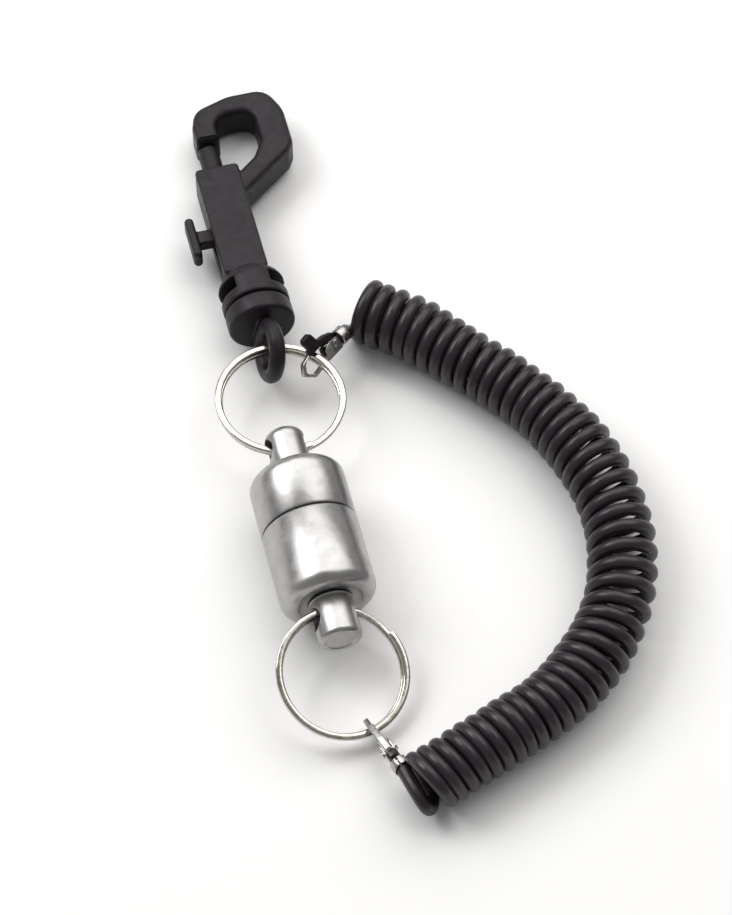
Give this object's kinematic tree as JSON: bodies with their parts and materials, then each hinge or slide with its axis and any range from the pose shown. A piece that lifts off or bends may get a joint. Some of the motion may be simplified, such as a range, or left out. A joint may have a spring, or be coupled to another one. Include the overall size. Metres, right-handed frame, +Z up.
{
  "type": "magnetic quick release with coiled lanyard",
  "caption": "Two-part cylindrical magnetic quick release with a split ring at each end, a swivel bolt snap, and a coiled safety lanyard clipped to both rings.",
  "frame": {"origin": "centre of the base of the box round the snap, rings and magnet (the lanyard left out), on the surface it lies on", "axes": "+Y along the chain from the magnet towards the snap, +Z up from the surface"},
  "size_m": [0.0862, 0.1838, 0.0205],
  "materials": {
    "steel": "polished",
    "nickel": "polished",
    "zinc": "satin",
    "black_plastic": "semi-matte",
    "black_cord": "gloss",
    "spring_steel": "satin"
  },
  "bodies": {
    "upper_half": {"upper_shell": "steel", "upper_post": "steel", "upper_post_nut": "zinc", "upper_magnet": "nickel", "upper_back_plate": "zinc", "lanyard_coil": "black_cord", "upper_cord_end": "black_cord", "upper_clasp_frame": "zinc", "upper_clasp_pin": "zinc", "upper_lever_spring": "spring_steel"},
    "lower_half": {"lower_shell": "steel", "lower_post": "steel", "lower_post_nut": "zinc", "lower_magnet": "nickel", "lower_back_plate": "zinc", "lower_cord_end": "black_cord", "lower_clasp_frame": "zinc", "lower_clasp_pin": "zinc", "lower_lever_spring": "spring_steel"},
    "upper_ring": {"upper_split_ring": "nickel"},
    "lower_ring": {"lower_split_ring": "nickel"},
    "swivel": {"swivel_eye": "black_plastic"},
    "snap": {"snap_body": "black_plastic", "bolt_spring": "spring_steel"},
    "bolt": {"snap_bolt": "black_plastic", "thumb_piece": "black_plastic"},
    "upper_lever": {"upper_clasp_lever": "black_plastic"},
    "lower_lever": {"lower_clasp_lever": "black_plastic"}
  },
  "joints": [
    {"name": "magnet_release", "type": "slide", "parent": "upper_half", "child": "lower_half", "axis": [0, -1, 0], "range_m": [0, 0.05], "deforming": ["lanyard_coil"]},
    {"name": "upper_ring_turn", "type": "hinge", "parent": "upper_half", "child": "upper_ring", "pos_m": [-0.0011, -0.00195, 0.0095], "axis": [0.0349, 0.0227, 0.9991], "continuous": true},
    {"name": "lower_ring_turn", "type": "hinge", "parent": "lower_half", "child": "lower_ring", "pos_m": [-0.004, -0.06775, 0.0072], "axis": [0.1564, -0.2888, 0.9445], "continuous": true},
    {"name": "snap_swing", "type": "hinge", "parent": "upper_half", "child": "swivel", "pos_m": [-0.0003, 0.01127, 0.00917], "axis": [1, 0, 0], "range_deg": [0, 75]},
    {"name": "snap_swivel", "type": "hinge", "parent": "swivel", "child": "snap", "pos_m": [-0.0003, 0.01795, 0.00817], "axis": [0, 0.998, -0.0637], "continuous": true},
    {"name": "bolt_slide", "type": "slide", "parent": "snap", "child": "bolt", "axis": [0, -0.998, 0.0637], "range_m": [0, 0.008], "stiffness_N_per_m": 400, "springref_m": -0.004, "deforming": ["bolt_spring"]},
    {"name": "upper_lever_pivot", "type": "hinge", "parent": "upper_half", "child": "upper_lever", "pos_m": [0.01296, 0.00985, 0.0092], "axis": [-0.5144, 0.6009, -0.6119], "range_deg": [0, 20], "stiffness_Nm_per_rad": 0.004, "deforming": ["upper_lever_spring"]},
    {"name": "lower_lever_pivot", "type": "hinge", "parent": "lower_half", "child": "lower_lever", "pos_m": [0.00106, -0.08629, 0.00571], "axis": [0.9098, 0.3388, 0.2398], "range_deg": [0, 20], "stiffness_Nm_per_rad": 0.004, "deforming": ["lower_lever_spring"]}
  ]
}
